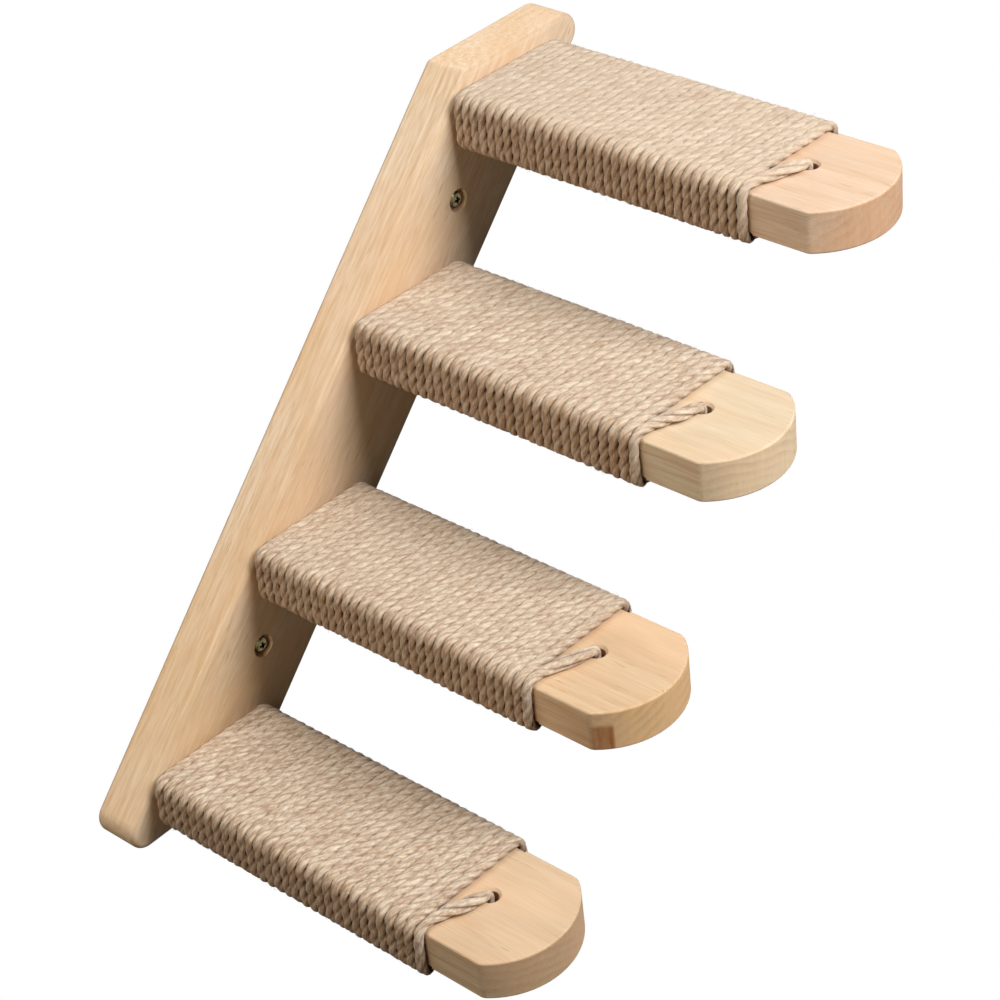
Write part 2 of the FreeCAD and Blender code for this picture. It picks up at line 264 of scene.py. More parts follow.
def wood(name, grain, heart, pale, deep, seed, stripes=0.0, dashes=0.0, honey=0.0,
         end_tone="#BE7C46", end_shade=0.5, edge_shade=0.0, stain_and_shade=None):
    """Planed wood: grain gives the direction of its fibres, heart the tree's middle beside it."""
    finish, shader, place = new_finish(name, {"Specular IOR Level": 0.05})
    along, across, through = grain(*place.parts())

    def noise(kind):
        wide, long, detail, shift = GRAIN[kind]
        point = place.vector(across * wide, along * long + seed + shift, through * wide)
        return point.noise(1.0, detail, GRAIN_ROUGHNESS)

    late_wood = growth_rings(noise, across, through, heart)
    ripple = (noise("ripple") - 0.5) * STREAK_RIPPLE
    streak = place.vector(
        across * STREAKS_ACROSS + ripple,
        along * STREAKS_ALONG + seed,
        through * STREAKS_ACROSS + ripple,
    ).noise(1.0, STREAK_DETAIL, GRAIN_ROUGHNESS)
    fibre = noise("fibre")
    fleck = noise("fleck").step(*FLECK_RANGE) * noise("fleck patch").step(*FLECK_PATCH_RANGE)
    blush = noise("blush").step(*BLUSH_RANGE)

    normal = place.node("NewGeometry", None, None, "Normal")
    facing = [part.math("ABSOLUTE") for part in grain(*normal.parts())]
    end_grain = facing[0].step(*END_FACING)
    saw_point = place.vector(across * SAW_ACROSS, seed, through * SAW_THROUGH)
    saw_mark = saw_point.noise(1.0, 3.0, 0.6)

    striped = facing[1].step(*STRIPE_FACING) * stripes + FLAT_STRIPES
    shade = late_wood * RING_SHADE + (streak - 0.5) * striped
    shade = shade + (fibre - 0.5) * (striped + FIBRE_EXTRA) + MEAN_SHADE
    if dashes:
        shade = shade + (noise("dash") - 0.5) * dashes
    shown = shade.mix(pale, deep)
    shown = (blush * BLUSH_SHARE).mix(shown, WOOD_TONES["blush"])
    if honey:
        amber = noise("amber").step(*AMBER_RANGE) - along * AMBER_FADE
        shown = (amber * honey).mix(shown, WOOD_TONES["amber"])
    shown = (fleck * FLECK_SHARE).mix(shown, WOOD_TONES["fleck"])
    shown = (end_grain * (saw_mark + SAW_BASE) * end_shade).mix(shown, colour(end_tone))
    ring_end = end_grain * late_wood * end_shade * RING_END_SHARE
    shown = ring_end.mix(shown, WOOD_TONES["ring end"])
    # Painted shade: the board's rounded edges are painted darker, so that they are no brighter than
    # its faces.
    if edge_shade:
        flattest = facing[0].math("MAXIMUM", facing[1]).math("MAXIMUM", facing[2])
        flattest = flattest.math("MAXIMUM", normal.parts()[2].math("ABSOLUTE"))
        edge_shade_mask = (1.0 - flattest ** 2.0).math("MAXIMUM", 0.0) ** 0.5
        edge_shade_mask = edge_shade_mask * facing[2].step(*EDGE_FACING)
        shown = (edge_shade_mask * EDGE_SCALE * edge_shade).mix(shown, WOOD_TONES["edge"])
    # Real stains, and on the treads the painted shade inside the drilled hole.
    for mask, tone in stain_and_shade(along, across, through) if stain_and_shade else ():
        shown = (mask * (saw_mark * STAIN_AND_SHADE_SAW + STAIN_AND_SHADE_BASE)).mix(shown, colour(tone))

    height = fibre * FIBRE_RISE + streak * STREAK_RISE + late_wood * RING_RISE - fleck * FLECK_DIP
    bump = place.node("Bump", None, {"Strength": 0.5, "Distance": 0.00012, "Height": height})
    roughness = WOOD_ROUGHNESS + fibre * FIBRE_ROUGHNESS + end_grain * END_ROUGHNESS
    feed(shader, base_color=shown, roughness=roughness, normal=bump)
    return finish


print("tones that all the wood shares", list(WOOD_TONES))

# %% [markdown]
# The board's fibres run up the slant, so its grain is turned by 45 degrees. A CAD piece already has
# the right shape. Only its material changes, and the mesh stays as it was loaded.

# %% Board wood
DIAGONAL = math.sqrt(0.5)


def slanted_grain(x, y, z):
    """Along, across and through the board, which leans to the right going up."""
    return (x + z) * DIAGONAL, (x - z) * DIAGONAL, y


def dress(node, finish):
    """Give a CAD piece its finish in place of the plain one that it was loaded with."""
    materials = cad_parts[node].data.materials
    materials.clear()
    materials.append(finish)


board_wood = wood(
    "board wood", slanted_grain, heart=(0.012, -0.055),
    pale=colour("#F4DEC2"), deep=colour("#DAB48A"), seed=3.1,
    stripes=0.8, dashes=1.3, honey=0.34, end_shade=0.10, edge_shade=0.40,
)
dress("back_board", board_wood)
print("board finish has", len(board_wood.node_tree.nodes), "nodes")

# %% [markdown]
# Treads come from different planks, so each has its own tones, its own place in the tree and its
# own sawn end. Inside the drilled hole the wood is painted dark, as painted shade. The third tread
# has a patch of pitch on the corner of its tip: strong on the sawn end, weak on the side, darkest
# at its far rim.

# %% Tread wood
HOLE_FROM_MIDDLE, HOLE_OUT = 0.002, -0.225   # the hole's axis from the tread's middle, and its y
HOLE_RADIUS = 0.0040
BORE_RIM, BORE_LIP, BORE_DEPTH, BORE_END = 0.0003, 0.0008, 0.013, 0.001
# The hole's tone is painted shade; the pitch's is a real stain.
BORE_SHADE_TONE, PITCH_TONE = "#7A4426", "#985720"
PITCH_TREAD = 3
# Where the pitch changes in x, then in y and z.
PITCH_SIDE, PITCH_RIM, PITCH_STOP = (-0.0838, -0.0828), (-0.0788, -0.0776), (-0.0772, -0.0757)
PITCH_FADE, PITCH_TOP = (-0.252, -0.225), (-0.0435, -0.0400)
PITCH_WEAK, PITCH_STRONG, PITCH_DARK = 0.3, 0.6, 0.3


def level_grain(x, y, z):
    """Along, across and through a tread, which stands straight out from the wall."""
    return y, x, z


def tread_stain_and_shade(number, middle_x, top):
    """The dark places of one tread, each a mask and a tone: painted shade in the hole, pitch on
    tread 3.
    """
    def stain_and_shade(along, across, through):
        sideways = across - (middle_x + HOLE_FROM_MIDDLE)
        from_axis = (sideways ** 2.0 + (along - HOLE_OUT) ** 2.0) ** 0.5
        bore_shade = 1.0 - from_axis.step(HOLE_RADIUS, HOLE_RADIUS + BORE_RIM)
        bore_shade = bore_shade * (1.0 - through.step(top - BORE_LIP, top))
        floor = top - BORE_DEPTH
        bore_shade = bore_shade * through.step(floor - BORE_END, floor)
        if number != PITCH_TREAD:
            return [(bore_shade, BORE_SHADE_TONE)]
        pitch = across.step(*PITCH_SIDE) * PITCH_STRONG
        pitch = pitch + across.step(*PITCH_RIM) * PITCH_DARK + PITCH_WEAK
        pitch = pitch * (1.0 - across.step(*PITCH_STOP)) * (1.0 - along.step(*PITCH_FADE))
        return [(bore_shade, BORE_SHADE_TONE), (pitch * (1.0 - through.step(*PITCH_TOP)), PITCH_TONE)]
    return stain_and_shade


# For each tread: pale tone, deep tone, tone of the sawn end and how strong that is, heart sideways.
# On treads 2 and 3 the sawn end is painted lighter than the wood, as a painted highlight on the
# tips.
TREAD_PLANKS = {
    1: ("#E2CAB2", "#CCA784", "#D0843C", 0.55, 0.018),
    2: ("#E2D2B7", "#CEAF8A", "#FFDFB4", 0.85, -0.022),
    3: ("#DEC3A0", "#C69E79", "#FFCB88", 0.80, 0.018),
    4: ("#DCC5A6", "#C6A17D", "#DE9A54", 0.40, -0.022),
}
HEART_BELOW, HEART_STEP, TREAD_SEED = 0.045, 0.006, 1.7
for number, (pale, deep, end_tone, end_shade, heart_side) in TREAD_PLANKS.items():
    low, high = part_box(f"tread_{number}")
    middle = (low + high) / 2
    heart = (middle.x + heart_side, middle.z - HEART_BELOW - HEART_STEP * number)
    tread_wood = wood(
        f"tread wood {number}", level_grain, heart, colour(pale), colour(deep),
        seed=TREAD_SEED * number, stripes=1.2, dashes=0.2, end_tone=end_tone,
        end_shade=end_shade, stain_and_shade=tread_stain_and_shade(number, middle.x, high.z),
    )
    dress(f"tread_{number}", tread_wood)
    print(tread_wood.name, "has", len(tread_wood.node_tree.nodes), "nodes")

# %% [markdown]
# A dowel joins each tread to the board. Nobody sees it, but it is wood all the same.

# %% Dowel wood
dowel_wood = wood(
    "dowel wood", level_grain, heart=(0.02, 0.03),
    pale=colour("#E4C79E"), deep=colour("#C79D70"), seed=9.0,
)
for number in TREADS:
    dress(f"dowel_{number}", dowel_wood)
print("dowels dressed", len(TREADS))

# %% [markdown]
# ## Rope finish
#
# Jute rope is three strands of fine straw-coloured yarn, twisted together. Its finish follows the
# rope, so it reads the rope's own UV map: u runs along it in turns of the twist, and v once round
# it, through the three strands. Yarns lie almost straight along laid rope, so their noise is drawn
# out along u and turned most of the way back by the twist. They stand up a little, which the bump
# shows, and no two strands have quite the same colour. The grooves between the strands are painted
# darker, as painted shade. The rope's mesh also says two things of each point: how deep it lies in
# the gap between two turns, which is painted dark brown as painted shade, and whether it is on the
# top or on a flank; the flanks are painted browner and with bolder mottle, as painted shade.

# %% Rope finish
STRANDS = 3
# Features to a twist along the rope and round it, and how far the twist is turned back.
YARN, JUTE_FIBRE = (6.5, 15.0, 0.6), (13.0, 38.0, 0.8)
STRAND_TONE_ALONG, STRAND_TONE_APART = 1.4, 5.3
YARN_MOTTLE, FIBRE_MOTTLE, STRAND_MOTTLE, MEAN_MOTTLE = 2.1, 1.5, 0.9, 0.45
FLANK_CONTRAST = 1.6
GROOVE_RANGE = (0.55, 1.0)
FLANK_SHADE_SHARE, GROOVE_SHADE_SHARE, GAP_IN_GROOVE, GAP_ON_CROWN = 0.42, 0.30, 0.75, 0.25
ROPE_TONES = {
    "pale_straw": colour("#E6D6BF"),
    "straw": colour("#B49376"),
    "flank_shade": colour("#B98A5C"),
    "groove_shade": colour("#80573A"),
    "gap": colour("#45240F"),
}
CONTRAST = {1: 0.52, 2: 0.8, 3: 0.92, 4: 1.05}     # how much the yarns on top differ in colour
FINISH_SEED = 3.7


def rope_finish(name, seed, contrast):
    """Twisted jute, read along the rope."""
    finish, shader, place = new_finish(
        name, {"Specular IOR Level": 0.04, "Sheen Weight": 0.2, "Sheen Roughness": 0.6}
    )
    u, v = place.node("UVMap", {"uv_map": "along_rope"}).parts()[:2]
    gap = place.node("Attribute", {"attribute_name": "gap"}, None, "Fac")
    flank_shade = place.node("Attribute", {"attribute_name": "flank_shade"}, None, "Fac")

    def lengthwise(measures, shift):
        along, around, turned_back = measures
        return place.vector(u * along, (v + u * turned_back) * around, seed + shift)

    yarn = lengthwise(YARN, 0.0).noise(1.0, 2.0, 0.5)
    fibre = lengthwise(JUTE_FIBRE, 2.0).noise(1.0, 3.0, 0.6)
    strand = v * STRANDS
    own = strand.math("FLOOR") * STRAND_TONE_APART
    strand_tone = place.vector(u * STRAND_TONE_ALONG, own, seed + 4.0).noise(1.0, 2.0)
    groove_shade = ((strand.math("FRACT") - 0.5).math("ABSOLUTE") * 2.0).step(*GROOVE_RANGE)

    mottle = (yarn - 0.5) * YARN_MOTTLE + (fibre - 0.5) * FIBRE_MOTTLE
    mottle = mottle + (strand_tone - 0.5) * STRAND_MOTTLE
    # Painted shade: the flanks are painted browner and with bolder mottle than the top.
    bold = flank_shade * (FLANK_CONTRAST - contrast) + contrast
    shown = (mottle * bold + MEAN_MOTTLE).mix(ROPE_TONES["pale_straw"], ROPE_TONES["straw"])
    shown = (flank_shade * FLANK_SHADE_SHARE).mix(shown, ROPE_TONES["flank_shade"])
    # Painted shade: the grooves between the strands are painted darker.
    shown = (groove_shade * bold * GROOVE_SHADE_SHARE).mix(shown, ROPE_TONES["groove_shade"])
    deep = gap * bold * (groove_shade * GAP_IN_GROOVE + GAP_ON_CROWN)
    shown = deep.mix(shown, ROPE_TONES["gap"])
    height = yarn + fibre * 0.5
    bump = place.node("Bump", None, {"Strength": 1.0, "Distance": 0.0007, "Height": height})
    feed(shader, base_color=shown, roughness=0.8 + fibre * 0.15, normal=bump)
    return finish


rope_finishes = {
    number: rope_finish(f"rope {number}", FINISH_SEED * number, CONTRAST[number])
    for number in TREADS
}
print("rope finishes", [finish.name for finish in rope_finishes.values()])

# %% [markdown]
# ## The rope's route
#
# Each tread carries one length of rope. It starts in a notch in the tread's end, runs round the
# plank until only the tip is bare, and its tail crosses the wood into a drilled hole. The route is
# a smooth NURBS spline with twelve control points to a turn, three at each corner of the plank. The
# turns of each rope were counted in the photograph. Small seeded errors keep the winding from
# looking machined.

# %% Rope route
ROPE_RADIUS = 0.00272
ROPE_CLEARANCE = 0.00008     # between the rope and the wood
WOUND_LENGTH = 0.1900        # from the board to the outside of the last turn
TURNS = {1: 34, 2: 31, 3: 33, 4: 31}
TURNS_EXTRA = 0.15           # added to the count when the wound length is shared out
CORNER_REACH = 0.0133        # from a corner to its neighbouring control points
NOTCH_SHIFT, NOTCH_TOP = 0.0110, 0.0088      # the start, from the middle and from the underside
TAIL_SHIFT, TAIL_REACH = 0.0012, 0.1962      # the way down, from the middle and from the board
TAIL_DEPTH, TAIL_DIP, TAIL_BEND = 0.0100, 0.0008, 0.0062
WINDING_ERROR, WINDING_EVERY = 0.00016, 5
ROPE_SEED = 100


def smooth_noise(draw, count, every):
    """Random numbers about 0 that change slowly along a row."""
    knots = draw.normal(0.0, 1.0, count // every + 3)
    return np.interp(np.arange(count) / every, np.arange(len(knots)), knots)


def rope_route(number, draw):
    """Control points of one rope's centre line, and the spacing of its turns."""
    low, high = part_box(f"tread_{number}")
    middle = (low + high) / 2
    half_thick = (high.z - low.z) / 2
    side = (high.x - low.x) / 2 + ROPE_RADIUS + ROPE_CLEARANCE
    top = half_thick + ROPE_RADIUS + ROPE_CLEARANCE
    near, flat = CORNER_REACH - top, side - CORNER_REACH
    turn = [(-flat, -top), (-side, -top), (-side, near)]
    turn += [(-side, -near), (-side, top), (-flat, top)]
    turn += [(flat, top), (side, top), (side, -near)]
    turn += [(side, near), (side, -top), (flat, -top)]
    in_notch = [(NOTCH_SHIFT, NOTCH_TOP - half_thick), (NOTCH_SHIFT, TAIL_BEND - top)]
    start = [(NOTCH_SHIFT, -top), (NOTCH_SHIFT - TAIL_BEND, -top)]
    wound = turn * (TURNS[number] - 1) + turn[:6]
    path = start + wound
    travelled = np.cumsum([0.0] + [math.dist(a, b) for a, b in zip(path, path[1:])])
    spacing = WOUND_LENGTH / (TURNS[number] + TURNS_EXTRA)
    reach = spacing / 2 + travelled / travelled[-1] * (WOUND_LENGTH - spacing)
    reach[len(start):] += WINDING_ERROR * smooth_noise(draw, len(wound), WINDING_EVERY)
    points = [(x, reach[0], z) for x, z in in_notch]
    points += [(x, out, z) for (x, z), out in zip(path, reach)]
    points.append((TAIL_SHIFT - TAIL_BEND, TAIL_REACH, top))
    points.append((TAIL_SHIFT, TAIL_REACH, top - TAIL_DIP))
    points.append((TAIL_SHIFT, TAIL_REACH, top - TAIL_BEND))
    points.append((TAIL_SHIFT, TAIL_REACH, half_thick - TAIL_DEPTH))
    return [(middle.x + x, high.y - out, middle.z + z) for x, out, z in points], spacing


draws = {number: np.random.RandomState(ROPE_SEED + number) for number in TREADS}
routes = {number: rope_route(number, draws[number]) for number in TREADS}
print("control points", [len(points) for points, spacing in routes.values()])

# %% [markdown]
# A curve with no bevel becomes a mesh of one line, and that line gives the points of the smooth
# spline. They are read off at even steps, closer together in the tail, which bends more.

# %% Rope line
RING_STEP, TAIL_STEP = 0.0017, 0.0008
TAIL_LENGTH = 0.044          # from where the tail leaves the last turn to its end


def spline_points(points):
    """Points of the smooth spline along a route, and how far along it each lies."""
    curve = bpy.data.curves.new("rope route", "CURVE")
    curve.dimensions = "3D"
    curve.resolution_u = 8
    spline = curve.splines.new("NURBS")
    spline.points.add(len(points) - 1)
    for held, point in zip(spline.points, points):
        held.co = (*point, 1.0)
    spline.order_u = 3
    spline.use_endpoint_u = True
    route = bpy.data.objects.new("rope route", curve)
    bpy.context.scene.collection.objects.link(route)
    line = bpy.data.meshes.new_from_object(route)
    read = np.empty(len(line.vertices) * 3)
    line.vertices.foreach_get("co", read)
    bpy.data.objects.remove(route)
    bpy.data.meshes.remove(line)
    bpy.data.curves.remove(curve)
    read = read.reshape(-1, 3)
    run = np.concatenate([[0.0], np.cumsum(np.linalg.norm(np.diff(read, axis=0), axis=1))])
    wound = run[-1] - TAIL_LENGTH
    on_tread = np.linspace(0.0, wound, round(wound / RING_STEP) + 1)
    in_tail = np.linspace(wound, run[-1], round(TAIL_LENGTH / TAIL_STEP) + 1)
    even = np.concatenate([on_tread, in_tail[1:]])
    return np.stack([np.interp(even, run, read[:, axis]) for axis in range(3)], 1), even


lines = {number: spline_points(points) for number, (points, spacing) in routes.items()}
for number, (line, run) in lines.items():
    print(f"rope_{number}", "turns", TURNS[number], "length %.2f m" % run[-1])


# %% [markdown]
# ## The rope's section
#
# The section is the outline of three round strands pressed together. It is carried along the line
# and turned once for every length of twist. Strands swell and thin a little as they go, and in the
# tail they open and spread, because nothing holds them there.

# %% Twisted section
SECTION_POINTS = 18
STRAND_RADIUS, LOOSE_STRAND_RADIUS = 0.00182, 0.00146
TWIST_LENGTH = 0.0235
TWIST_ERROR, TWIST_EVERY = 0.7, 30
TAIL_END = 0.0135            # the last of the tail, which is held together by the hole
TAIL_OPENS, TAIL_CLOSES = 0.014, 0.008
TAIL_UNLAID, TAIL_SPREAD = 0.6, 0.75
SWELL_MEAN, SWELL, SWELL_EVERY, SWELL_LIMITS = 0.97, 0.035, 9, (-1.5, 0.75)
YARN_ERROR, YARN_LIMITS = 0.014, (-0.03, 0.01)


def strand_section(strand_radius):
    """Angles and radii of the section's points."""
    angles = np.arange(SECTION_POINTS) / SECTION_POINTS * 2 * math.pi
    one_strand = 2 * math.pi / STRANDS
    from_crown = (angles % one_strand) - one_strand / 2
    offset = ROPE_RADIUS - strand_radius
    radii = offset * np.cos(from_crown)
    radii += np.sqrt(strand_radius ** 2 - (offset * np.sin(from_crown)) ** 2)
    return angles, radii


def carried_frames(line):
    """Tangent and two square directions at each point, carried along without extra turning."""
    tangent = np.gradient(line, axis=0)
    tangent /= np.linalg.norm(tangent, axis=1)[:, None]
    side = np.empty_like(line)
    held = np.cross(tangent[0], (0.0, 1.0, 0.0))
    for index, ahead in enumerate(tangent):
        held = held - ahead * (held @ ahead)
        held /= np.linalg.norm(held)
        side[index] = held
    return tangent, side, np.cross(tangent, side)


def open_tail(run):
    """How far the strands are opened at each point, from 0 to 1."""
    left = run[-1] - run
    opening = np.clip((TAIL_LENGTH - left) / TAIL_OPENS, 0.0, 1.0)
    return opening * np.clip((left - TAIL_END) / TAIL_CLOSES, 0.0, 1.0)


def twisted_offsets(line, run, draw):
    """The section's points from the line, twisted and uneven, and the line's tangent."""
    count = len(line)
    tail = open_tail(run)
    tangent, side, square = carried_frames(line)
    angles, tight = strand_section(STRAND_RADIUS)
    angles, loose = strand_section(LOOSE_STRAND_RADIUS)
    turning = np.diff(run, prepend=0.0) / TWIST_LENGTH * (1.0 - TAIL_UNLAID * tail)
    twist = 2 * math.pi * np.cumsum(turning)
    twist = twist + TWIST_ERROR * smooth_noise(draw, count, TWIST_EVERY)
    swell = np.stack([smooth_noise(draw, count, SWELL_EVERY) for strand in range(STRANDS)], 1)
    own_strand = np.arange(SECTION_POINTS) * STRANDS // SECTION_POINTS
    turned = (angles[None] + twist[:, None])[..., None]
    uneven = SWELL_MEAN + SWELL * np.clip(swell, *SWELL_LIMITS)[:, own_strand]
    uneven += np.clip(draw.normal(0.0, YARN_ERROR, uneven.shape), *YARN_LIMITS)
    radii = tight[None] + (loose - tight)[None] * tail[:, None]
    out = (radii * uneven)[..., None]
    offsets = out * (np.cos(turned) * side[:, None] + np.sin(turned) * square[:, None])
    level = np.cross(tangent, (0.0, 0.0, 1.0))
    spread = np.einsum("ijk,ik->ij", offsets, level) * (TAIL_SPREAD * tail)[:, None]
    offsets += spread[..., None] * level[:, None]
    return offsets, tangent


sections = {number: twisted_offsets(*lines[number], draws[number]) for number in TREADS}
print("section points", [offsets.shape[:2] for offsets, tangent in sections.values()])


# %% [markdown]
# Wound rope is soft: each turn is squeezed against the next, so the section is widened to a little
# more than the spacing of the turns, and its outer side is pressed flat, most of all on top. What
# lies low between two turns is a gap, which gets painted shade, less of it on top. The tail stays
# on the wood, except down in the hole.

# %% Squeezed section
EDGE_ROUND = 0.0030          # of the plank's edges under the rope
BOUND_FROM, BOUND_TO, BOUND_EASE = 0.03, 0.06, 0.02
OVERLAP, OVERLAP_ON_TOP = 1.10, 0.07
PRESS, PRESS_ON_TOP, PRESS_ON_EDGE = 0.88, 0.27, 0.10
PRESS_EXTRA = 0.25           # on the top right and the bottom left edge
# Painted shade: the gaps between turns, the rope down in the hole and the grooves of the open tail
# are painted dark.
GAP_LEVEL, GAP_RANGE, GAP_ON_TOP = 0.48, 0.40, 0.30
HOLE_SHADE_ABOVE, HOLE_SHADE_RANGE, HOLE_SHADE_MOST = 0.0003, 0.0012, 0.8
TAIL_GROOVE = 0.7


def squeeze_turns(offsets, line, run, spacing, heart, core):
    """Widen and press the section, and give it painted shade in the gaps and on the flanks."""
    bound = np.minimum(run - BOUND_FROM, run[-1] - BOUND_TO - run) / BOUND_EASE
    bound = np.clip(bound, 0.0, 1.0)
    from_heart = (line - heart) * (1.0, 0.0, 1.0)
    outward = from_heart - np.clip(from_heart, -core, core)
    outward /= np.linalg.norm(outward, axis=1)[:, None] + 1e-9
    upward = np.clip(outward[:, 2], 0.0, 1.0)
    squeeze = spacing / 2 / ROPE_RADIUS * (OVERLAP + OVERLAP_ON_TOP * upward)
    offsets[..., 1] *= (1.0 + bound * (squeeze - 1.0))[:, None]
    lift = np.einsum("ijk,ik->ij", offsets, outward)
    on_edge = 2.0 * outward[:, 0] * outward[:, 2]
    press = PRESS - PRESS_ON_TOP * upward - PRESS_ON_EDGE * np.abs(on_edge)
    press = (press - PRESS_EXTRA * np.clip(on_edge, 0.0, 1.0))[:, None]
    pressed = ROPE_RADIUS * (np.clip(lift, 1e-9, None) / ROPE_RADIUS) ** press
    change = np.where(lift > 0.0, pressed - lift, 0.0) * bound[:, None]
    offsets += change[..., None] * outward[:, None]

    height = np.einsum("ijk,ik->ij", offsets, outward) / ROPE_RADIUS
    flank_shade = np.repeat((1.0 - upward)[:, None] * bound[:, None], SECTION_POINTS, 1)
    gap = np.clip((GAP_LEVEL - height) / GAP_RANGE, 0.0, 1.0) * bound[:, None]
    return gap * (GAP_ON_TOP + (1.0 - GAP_ON_TOP) * flank_shade), flank_shade


def lay_tail(points, gap, run, heart, core):
    """Keep the tail on the wood outside the hole; paint shade on its grooves and in the hole."""
    in_tail = (run[-1] - run < TAIL_LENGTH)[:, None]
    wood_top = heart[2] + core[2] + EDGE_ROUND
    hole = (heart[0] + HOLE_FROM_MIDDLE, HOLE_OUT)
    from_hole = np.linalg.norm(points[..., :2] - hole, axis=-1)
    sunk = in_tail & (points[..., 2] < wood_top) & (from_hole > HOLE_RADIUS)
    points[..., 2] = np.where(sunk, wood_top, points[..., 2])
    in_hole = (wood_top + HOLE_SHADE_ABOVE - points[..., 2]) / HOLE_SHADE_RANGE
    in_hole = np.clip(in_hole, 0.0, HOLE_SHADE_MOST) * (from_hole < HOLE_RADIUS)
    np.maximum(gap, in_hole * in_tail, out=gap)
    grooves = gap[:, ::SECTION_POINTS // STRANDS]
    np.maximum(grooves, TAIL_GROOVE * open_tail(run)[:, None], out=grooves)


hearts, rings, shades = {}, {}, {}
for number, (line, run) in lines.items():
    low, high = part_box(f"tread_{number}")
    heart, core = np.array((low + high) / 2), np.array((high - low) / 2) - EDGE_ROUND
    offsets, spacing = sections[number][0], routes[number][1]
    gap, flank_shade = squeeze_turns(offsets, line, run, spacing, heart, core)
    points = line[:, None] + offsets
    lay_tail(points, gap, run, heart, core)
    hearts[number], rings[number] = heart, points
    shades[number] = {"gap": gap, "flank_shade": flank_shade}
    print(f"rope_{number}", "spacing %.2f mm" % (spacing * 1000), "mean gap %.2f" % gap.mean())

# %% [markdown]
# ## Loose fibres
#
# Jute is never smooth. Loose ends of fibre stand off all over it, each a hair's breadth thick, and
# they soften the outline of the rope. They are thin three-sided spikes that start on the rope,
# lean along it and curl back, and they are kept to the side that faces away from the wood.

# %% Loose fibres
FIBRES = 4300
BARE_START, BARE_END = 30, 20          # rings without fibres, at the notch and in the hole
FIBRE_LENGTH, FIBRE_LIFT, FIBRE_CURL = (0.0015, 0.0042), (0.15, 0.75), (0.4, 1.2)
FIBRE_LEAN = 0.5
FIBRE_INWARD = -0.004                  # past this a fibre points into the wood and is turned round
FIBRE_THICK = (0.00006, 0.00005)       # at its root and halfway
FIBRE_CORNERS = (0.0, 2.1, 4.2)
FIBRE_POINTS = 7


def loose_fibres(rings, line, tangent, heart, draw):
    """Points of the fibres, and the ring and section point that each grows from."""
    ring = draw.randint(BARE_START, len(line) - BARE_END, FIBRES)
    place = draw.randint(0, SECTION_POINTS, FIBRES)
    root = rings[ring, place]
    normal = root - line[ring]
    normal /= np.linalg.norm(normal, axis=1)[:, None]
    away = line[ring] - heart
    away[:, 1] = 0.0
    inward = np.sum(normal * away, 1)[:, None] < FIBRE_INWARD
    normal = np.where(inward, -normal, normal)
    ahead = tangent[ring] * draw.choice([-1.0, 1.0], FIBRES)[:, None]
    across = np.cross(ahead, normal)
    lean = ahead + across * draw.normal(0.0, FIBRE_LEAN, FIBRES)[:, None]
    lean /= np.linalg.norm(lean, axis=1)[:, None]
    length = draw.uniform(*FIBRE_LENGTH, FIBRES)[:, None]
    lift = draw.uniform(*FIBRE_LIFT, FIBRES)[:, None]
    curl = lift * draw.uniform(*FIBRE_CURL, FIBRES)[:, None]
    start, halfway, tip = (
        root + length * (lean * t + normal * (lift * t - curl * t * t)) for t in (0.0, 0.5, 1.0)
    )
    points = []
    for station, thick in zip((start, halfway), FIBRE_THICK):
        for corner in FIBRE_CORNERS:
            points.append(station + thick * (math.cos(corner) * across + math.sin(corner) * normal))
    points.append(tip)
    return np.stack(points, 1), ring, place


fibres = {
    number: loose_fibres(
        rings[number], lines[number][0], sections[number][1], hearts[number], draws[number]
    )
    for number in TREADS
}
print("loose fibres", sum(len(points) for points, ring, place in fibres.values()))


# %% [markdown]
# ## The rope's mesh
#
# A rope has about a hundred thousand faces, so points and faces are handed to Blender in one go.
# Quads join each ring to the next, a fan of triangles closes both ends, and every fibre has six
# faces. The UV map and the two attributes that the finish reads follow the same order.

# %% Rope mesh
FIBRE_SIDES = np.array([(0, 1, 4, 3), (1, 2, 5, 4), (2, 0, 3, 5)])
FIBRE_TIP = np.array([(3, 4, 6), (4, 5, 6), (5, 3, 6)])
STEP = np.arange(SECTION_POINTS)


def rope_faces(count):
    """Faces of a rope with so many rings: the sides, the two ends and the fibres."""
    after = (STEP + 1) % SECTION_POINTS
    base = (np.arange(count - 1) * SECTION_POINTS)[:, None]
    ahead = base + SECTION_POINTS
    sides = np.stack([base + STEP, base + after, ahead + after, ahead + STEP], -1)
    first_end, last_ring = count * SECTION_POINTS, (count - 1) * SECTION_POINTS
    last_end = first_end + 1
    ends = [(first_end, int(b), int(a)) for a, b in zip(STEP, after)]
    ends += [(last_end, int(last_ring + a), int(last_ring + b)) for a, b in zip(STEP, after)]
    roots = (last_end + 1 + np.arange(FIBRES) * FIBRE_POINTS)[:, None, None]
    faces = sides.reshape(-1, 4).tolist() + ends
    faces += (roots + FIBRE_SIDES).reshape(-1, 4).tolist()
    return faces + (roots + FIBRE_TIP).reshape(-1, 3).tolist()


def rope_uv(run, ring, place):
    """UV of every face corner, in the order of the faces; a fibre keeps the UV of its root."""
    u = run / TWIST_LENGTH
    low_u, high_u = u[:-1, None] + 0.0 * STEP, u[1:, None] + 0.0 * STEP
    low_v = STEP / SECTION_POINTS + 0.0 * low_u
    high_v = (STEP + 1) / SECTION_POINTS + 0.0 * low_u
    sides = np.stack([low_u, low_v, low_u, high_v, high_u, high_v, high_u, low_v], -1)
    ends = np.zeros((2 * SECTION_POINTS * 3, 2))
    root = np.stack([u[ring], (place + 0.5) / SECTION_POINTS], 1)
    spikes = [np.repeat(root, FIBRE_SIDES.size, 0), np.repeat(root, FIBRE_TIP.size, 0)]
    return np.concatenate([sides.reshape(-1, 2), ends, *spikes])


